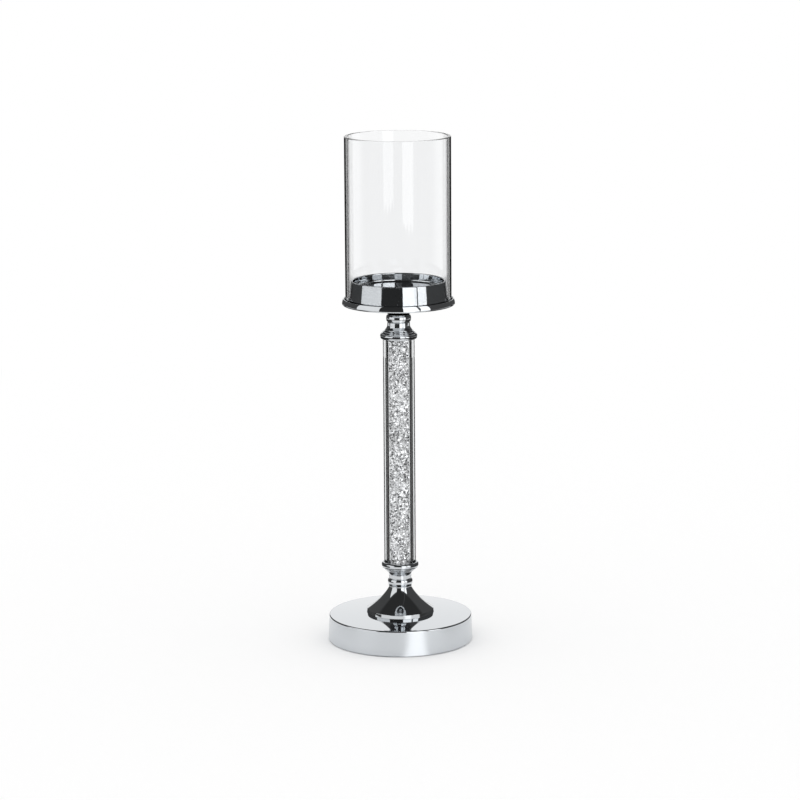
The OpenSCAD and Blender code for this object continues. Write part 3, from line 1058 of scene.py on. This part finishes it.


# Painted reflection: the table's dark flags and the key card's glow, painted on the table, which only
# mirrored
# light meets: edges in degrees round the axis, and in metres the flags' start and how far from the axis the
# glow is aimed
FLAG_SIDE = (66, 4)
FLAG_BACK = (165, 6)
FLAG_START = (0.2, 0.06)
PAINTED_FLAG_COLOUR = (0.05, 0.05, 0.05)
GLOW_START = (16, 7)
GLOW_END = (37, 7)
GLOW_ASIDE = 15 * MM
TABLE_RINGS = (0.02, 0.1, 0.3, 1.0)
TABLE_HEIGHT = -0.02 * MM


def table_top(radius, glare):
    """Round pale table top: x = s R cos a, y = s R sin a, with s from 0 to 1. Its underside is clear.
    Mirrored light sees painted dark flags and a painted glow on it.
    """
    rings = np.array(TABLE_RINGS) * radius
    angle = np.arange(TURN_STEPS) * (2 * math.pi / TURN_STEPS)
    places = np.stack([
        np.outer(rings, np.cos(angle)),
        np.outer(rings, np.sin(angle)),
        np.full((len(rings), TURN_STEPS), TABLE_HEIGHT),
    ], axis=2).reshape(-1, 3)
    ring, step = np.meshgrid(np.arange(len(rings) - 1), np.arange(TURN_STEPS), indexing="ij")
    after = (step + 1) % TURN_STEPS
    quads = np.stack([
        ring * TURN_STEPS + step,
        (ring + 1) * TURN_STEPS + step,
        (ring + 1) * TURN_STEPS + after,
        ring * TURN_STEPS + after,
    ], axis=2).reshape(-1, 4).tolist()
    mesh = bpy.data.meshes.new("table_top")
    mesh.from_pydata(places.tolist(), [], quads + [list(range(TURN_STEPS))])
    top = bpy.data.objects.new("table_top", mesh)
    bpy.context.scene.collection.objects.link(top)
    material, board = new_board("pale_table")
    right, away, _ = board.parts(board.spot())
    degrees = 180 / math.pi
    round_axis = board.math("ARCTAN2", right, -1 * away) * degrees
    around = abs(round_axis)
    reach = board.math("SQRT", right * right + away * away)
    # Painted reflection: dark patches at the table's sides, which only mirrored light sees
    beside = board.step(around, *FLAG_SIDE) * (1 - board.step(around, *FLAG_BACK))
    flags = beside * board.step(reach, *FLAG_START)
    seen_at = round_axis + board.math("ARCSINE", GLOW_ASIDE / reach) * degrees
    # Painted light: the key card's glow is an emission on the table, which only mirrored light sees
    glow = board.step(seen_at, *GLOW_START) * (1 - board.step(seen_at, *GLOW_END)) * board.mirrored()
    under = board.node("ShaderNodeNewGeometry", {}, {}, out="Backfacing")
    pale = board.principled({
        "Base Color": board.blend(board.mirrored() * flags, (1.0, 1.0, 1.0), PAINTED_FLAG_COLOUR),
        "Roughness": 1.0,
        "Specular IOR Level": 0.0,
        "Emission Color": board.blend(glow, (0.0, 0.0, 0.0), (glare, glare, glare)),
        "Emission Strength": 1.0,
    })
    clear = board.node("ShaderNodeBsdfTransparent", {}, {})
    board.surface(board.node("ShaderNodeMixShader", {}, {0: under, 1: pale, 2: clear}))
    mesh.materials.append(material)
    return top


class HOLDER_OT_studio(Operator):
    """Pale table, soft studio light and the camera"""
    bl_idname = "holder.studio"
    bl_label = "Studio"

    def execute(self, context):
        setup = context.scene.holder_studio
        table_top(setup.floor, setup.glare)
        context.scene.world = studio_world(setup)
        lens = bpy.data.cameras.new("camera")
        lens.lens = setup.lens
        lens.clip_end = 50
        camera = bpy.data.objects.new("camera", lens)
        context.scene.collection.objects.link(camera)
        look = Euler((math.pi / 2 - setup.tilt, 0, 0)).to_matrix() @ Euler((0, 0, setup.roll)).to_matrix()
        camera.location = (setup.aside, -setup.distance, setup.height)
        camera.rotation_euler = look.to_euler()
        context.scene.camera = camera
        context.scene.view_settings.view_transform = "Standard"
        return {"FINISHED"}


PROPERTY_GROUPS = {
    "holder_finishes": HolderFinishes,
    "holder_base": BaseShape,
    "holder_bell": BellShape,
    "holder_ferrule": FerruleShape,
    "holder_column": ColumnShape,
    "holder_tray": TrayShape,
    "holder_cup": CupShape,
    "holder_shade": ShadeShape,
    "holder_studio": StudioSetup,
}
OPERATORS = [
    HOLDER_OT_base, HOLDER_OT_bell, HOLDER_OT_ferrules, HOLDER_OT_column, HOLDER_OT_tray, HOLDER_OT_cup,
    HOLDER_OT_shade, HOLDER_OT_hidden_parts, HOLDER_OT_studio,
]


class HOLDER_PT_sidebar(Panel):
    """Lists the holder's sizes and its building steps"""
    bl_label = "Candle holder"
    bl_idname = "HOLDER_PT_sidebar"
    bl_space_type = "VIEW_3D"
    bl_region_type = "UI"
    bl_category = "Candle holder"

    def draw(self, context):
        for operator in OPERATORS:
            self.layout.operator(operator.bl_idname)
        for key, group in PROPERTY_GROUPS.items():
            box = self.layout.box()
            box.label(text=group.__name__)
            for prop in group.__annotations__:
                box.prop(getattr(context.scene, key), prop)


def register():
    """Makes the sizes, steps and sidebar known to Blender."""
    for group in PROPERTY_GROUPS.values():
        bpy.utils.register_class(group)
    for key, group in PROPERTY_GROUPS.items():
        setattr(bpy.types.Scene, key, PointerProperty(type=group))
    for operator in OPERATORS:
        bpy.utils.register_class(operator)
    bpy.utils.register_class(HOLDER_PT_sidebar)


def unregister():
    """Takes them away again."""
    bpy.utils.unregister_class(HOLDER_PT_sidebar)
    for operator in reversed(OPERATORS):
        bpy.utils.unregister_class(operator)
    for key in PROPERTY_GROUPS:
        delattr(bpy.types.Scene, key)
    for group in reversed(PROPERTY_GROUPS.values()):
        bpy.utils.unregister_class(group)


def main():
    """Builds the studio and the holder."""
    register()
    bpy.ops.holder.studio()
    bpy.ops.holder.base()
    bpy.ops.holder.bell()
    bpy.ops.holder.ferrules()
    bpy.ops.holder.column()
    bpy.ops.holder.tray()
    bpy.ops.holder.cup()
    bpy.ops.holder.shade()
    bpy.ops.holder.hidden_parts()


if __name__ == "__main__":
    main()
